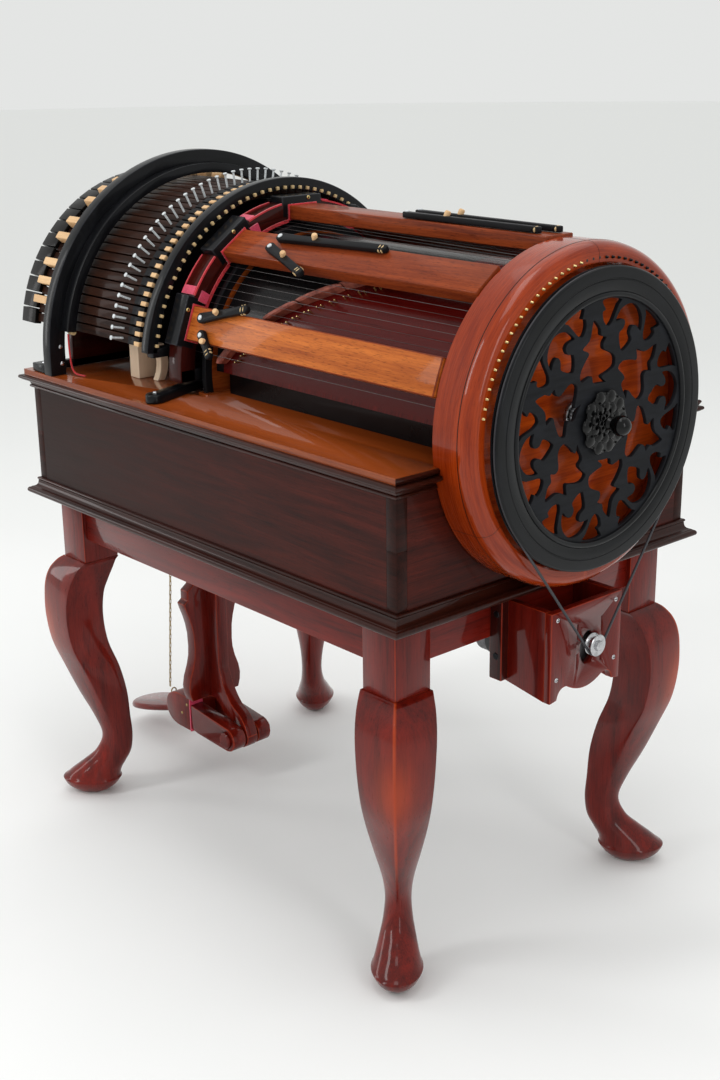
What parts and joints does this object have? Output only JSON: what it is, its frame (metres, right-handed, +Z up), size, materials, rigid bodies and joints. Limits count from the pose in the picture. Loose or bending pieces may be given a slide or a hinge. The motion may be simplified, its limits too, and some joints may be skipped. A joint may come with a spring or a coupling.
{
  "type": "hurdy gurdy",
  "caption": "Cabriole-legged case carrying a half-drum of strings with an arc of keys, a belted flywheel that turns the bowing wheel, stop levers and a chained pedal.",
  "frame": {"origin": "on the floor, under the middle of the whole object's box", "axes": "+X along the drum towards the flywheel, +Y away from the low side of the keys, +Z up"},
  "size_m": [1.128, 0.596, 1.057],
  "materials": {
    "case_walnut": "dark brown stain under gloss varnish",
    "mahogany": "red mahogany under gloss varnish",
    "deck_mahogany": "orange-brown mahogany under gloss varnish",
    "hoop_wood": "orange-red gloss varnish",
    "beam_mahogany": "fine-pored mahogany, satin",
    "soundboard_wood": "deep red gloss, black towards the keys",
    "black_wood": "satin black stain",
    "key_wood": "dark walnut and black heads",
    "bridge_leather": "pink-brown leather on wood",
    "steel": "plain",
    "motor_metal": "grey",
    "brass": "plain",
    "belt": "matt",
    "red_cord": "twisted"
  },
  "bodies": {
    "instrument": {"leg_front_right": "mahogany", "leg_front_left": "mahogany", "leg_back_right": "mahogany", "leg_back_left": "mahogany", "apron_front": "mahogany", "apron_back": "mahogany", "apron_key_end": "mahogany", "apron_wheel_end": "mahogany", "motor_box": "mahogany", "pedal_post": "mahogany", "pedal_pin": "mahogany", "case_frame": "case_walnut", "case_bottom": "case_walnut", "moulding_top": "case_walnut", "moulding_base": "case_walnut", "deck": "deck_mahogany", "hoop_ring": "hoop_wood", "hoop_board": "hoop_wood", "beam_1": "beam_mahogany", "beam_2": "beam_mahogany", "beam_3": "beam_mahogany", "beam_4": "beam_mahogany", "beam_5": "beam_mahogany", "soundboard": "soundboard_wood", "bridge": "bridge_leather", "key_end_frame": "black_wood", "guide_arch": "black_wood", "key_arch": "black_wood", "key_bank": "key_wood", "red_cord": "red_cord", "motor": "motor_metal", "drive_belt": "belt"},
    "wheel": {"flywheel": "black_wood", "hub_rosette": "black_wood", "knob": "black_wood", "main_shaft": "steel", "bowing_wheel": "deck_mahogany"},
    "pulley": {"motor_pulley": "steel"},
    "pedal": {"pedal_lever": "mahogany", "pedal_plate": "mahogany"},
    "chain": {"pedal_chain": "brass"},
    "deck_arm": {"deck_lever": "black_wood"},
    "key_c7_arm": {"key_c7": "key_wood"},
    "key_b6_arm": {"key_b6": "key_wood"},
    "key_a_sharp6_arm": {"key_a_sharp6": "key_wood"},
    "key_a6_arm": {"key_a6": "key_wood"},
    "key_g_sharp6_arm": {"key_g_sharp6": "key_wood"},
    "key_g6_arm": {"key_g6": "key_wood"},
    "key_f_sharp6_arm": {"key_f_sharp6": "key_wood"},
    "key_f6_arm": {"key_f6": "key_wood"},
    "key_e6_arm": {"key_e6": "key_wood"},
    "key_d_sharp6_arm": {"key_d_sharp6": "key_wood"},
    "key_d6_arm": {"key_d6": "key_wood"},
    "key_c_sharp6_arm": {"key_c_sharp6": "key_wood"},
    "stop_arm_a": {"stop_lever_a": "black_wood"},
    "stop_arm_b": {"stop_lever_b": "black_wood"},
    "stop_arm_c": {"stop_lever_c": "black_wood"},
    "stop_arm_d": {"stop_lever_d": "black_wood"},
    "stop_arm_e": {"stop_lever_e": "black_wood"},
    "stop_arm_f": {"stop_lever_f": "black_wood"}
  },
  "joints": [
    {"name": "wheel_spin", "type": "hinge", "parent": "instrument", "child": "wheel", "pos_m": [-0.054, 0, 0.765], "axis": [1, 0, 0], "continuous": true},
    {"name": "motor_spin", "type": "hinge", "parent": "instrument", "child": "pulley", "pos_m": [0.518, 0.006, 0.46], "axis": [1, 0, 0], "continuous": true},
    {"name": "press_c7", "type": "hinge", "parent": "instrument", "child": "key_c7_arm", "pos_m": [-0.13, -0.23854, 0.80576], "axis": [0, -0.1684, -0.9857], "range_deg": [0, 1.4], "stiffness_Nm_per_rad": 0.6, "springref_deg": -11.46},
    {"name": "press_b6", "type": "hinge", "parent": "instrument", "child": "key_b6_arm", "pos_m": [-0.13, -0.23576, 0.81961], "axis": [0, -0.2257, -0.9742], "range_deg": [0, 1.4], "stiffness_Nm_per_rad": 0.6, "springref_deg": -11.46},
    {"name": "press_a_sharp6", "type": "hinge", "parent": "instrument", "child": "key_a_sharp6_arm", "pos_m": [-0.13, -0.23217, 0.83328], "axis": [0, -0.2821, -0.9594], "range_deg": [0, 1.4], "stiffness_Nm_per_rad": 0.6, "springref_deg": -11.46},
    {"name": "press_a6", "type": "hinge", "parent": "instrument", "child": "key_a6_arm", "pos_m": [-0.13, -0.22779, 0.84671], "axis": [0, -0.3377, -0.9413], "range_deg": [0, 1.4], "stiffness_Nm_per_rad": 0.6, "springref_deg": -11.46},
    {"name": "press_g_sharp6", "type": "hinge", "parent": "instrument", "child": "key_g_sharp6_arm", "pos_m": [-0.13, -0.22263, 0.85987], "axis": [0, -0.392, -0.92], "range_deg": [0, 1.4], "stiffness_Nm_per_rad": 0.6, "springref_deg": -11.46},
    {"name": "press_g6", "type": "hinge", "parent": "instrument", "child": "key_g6_arm", "pos_m": [-0.13, -0.21671, 0.8727], "axis": [0, -0.445, -0.8955], "range_deg": [0, 1.4], "stiffness_Nm_per_rad": 0.6, "springref_deg": -11.46},
    {"name": "press_f_sharp6", "type": "hinge", "parent": "instrument", "child": "key_f_sharp6_arm", "pos_m": [-0.13, -0.21006, 0.88517], "axis": [0, -0.4966, -0.868], "range_deg": [0, 1.4], "stiffness_Nm_per_rad": 0.6, "springref_deg": -11.46},
    {"name": "press_f6", "type": "hinge", "parent": "instrument", "child": "key_f6_arm", "pos_m": [-0.13, -0.20269, 0.89722], "axis": [0, -0.5464, -0.8375], "range_deg": [0, 1.4], "stiffness_Nm_per_rad": 0.6, "springref_deg": -11.46},
    {"name": "press_e6", "type": "hinge", "parent": "instrument", "child": "key_e6_arm", "pos_m": [-0.13, -0.19462, 0.90882], "axis": [0, -0.5943, -0.8042], "range_deg": [0, 1.4], "stiffness_Nm_per_rad": 0.6, "springref_deg": -11.46},
    {"name": "press_d_sharp6", "type": "hinge", "parent": "instrument", "child": "key_d_sharp6_arm", "pos_m": [-0.13, -0.1859, 0.91994], "axis": [0, -0.6402, -0.7682], "range_deg": [0, 1.4], "stiffness_Nm_per_rad": 0.6, "springref_deg": -11.46},
    {"name": "press_d6", "type": "hinge", "parent": "instrument", "child": "key_d6_arm", "pos_m": [-0.13, -0.17654, 0.93052], "axis": [0, -0.684, -0.7295], "range_deg": [0, 1.4], "stiffness_Nm_per_rad": 0.6, "springref_deg": -11.46},
    {"name": "press_c_sharp6", "type": "hinge", "parent": "instrument", "child": "key_c_sharp6_arm", "pos_m": [-0.13, -0.16658, 0.94055], "axis": [0, -0.7254, -0.6883], "range_deg": [0, 1.4], "stiffness_Nm_per_rad": 0.6, "springref_deg": -11.46},
    {"name": "stop_turn_a", "type": "hinge", "parent": "instrument", "child": "stop_arm_a", "pos_m": [-0.032, -0.21023, 0.8511], "axis": [0, -0.9397, 0.342], "range_deg": [-8, 8]},
    {"name": "stop_turn_b", "type": "hinge", "parent": "instrument", "child": "stop_arm_b", "pos_m": [-0.023, -0.2181, 0.82948], "axis": [0, -0.9397, 0.342], "range_deg": [-8, 8]},
    {"name": "stop_turn_c", "type": "hinge", "parent": "instrument", "child": "stop_arm_c", "pos_m": [0.034, -0.13676, 0.94636], "axis": [0, -0.5736, 0.8192], "range_deg": [-8, 8]},
    {"name": "stop_turn_d", "type": "hinge", "parent": "instrument", "child": "stop_arm_d", "pos_m": [0.036, -0.11955, 0.9584], "axis": [0, -0.5736, 0.8192], "range_deg": [-2, 5]},
    {"name": "stop_turn_e", "type": "hinge", "parent": "instrument", "child": "stop_arm_e", "pos_m": [0.178, -0.015, 0.992], "axis": [0, 0, 1], "range_deg": [-4, 1.5]},
    {"name": "stop_turn_f", "type": "hinge", "parent": "instrument", "child": "stop_arm_f", "pos_m": [0.175, 0.012, 0.992], "axis": [0, 0, 1], "range_deg": [-1, 4]},
    {"name": "deck_lever_turn", "type": "hinge", "parent": "instrument", "child": "deck_arm", "pos_m": [-0.111, -0.164, 0.7408], "axis": [0, 0, 1], "range_deg": [0, 8]},
    {"name": "pedal_press", "type": "hinge", "parent": "instrument", "child": "pedal", "pos_m": [-0.231, -0.02, 0.076], "axis": [0, -1, 0], "range_deg": [0, 4], "stiffness_Nm_per_rad": 6, "springref_deg": -20.05},
    {"name": "chain_slide", "type": "slide", "parent": "instrument", "child": "chain", "axis": [-0.0884, 0, -0.9961], "range_m": [0, 0.01343]}
  ],
  "couplings": [
    {"joint": "motor_spin", "follows": "wheel_spin", "ratio": 13.842},
    {"joint": "chain_slide", "follows": "pedal_press", "m_per_rad": 0.1895}
  ]
}
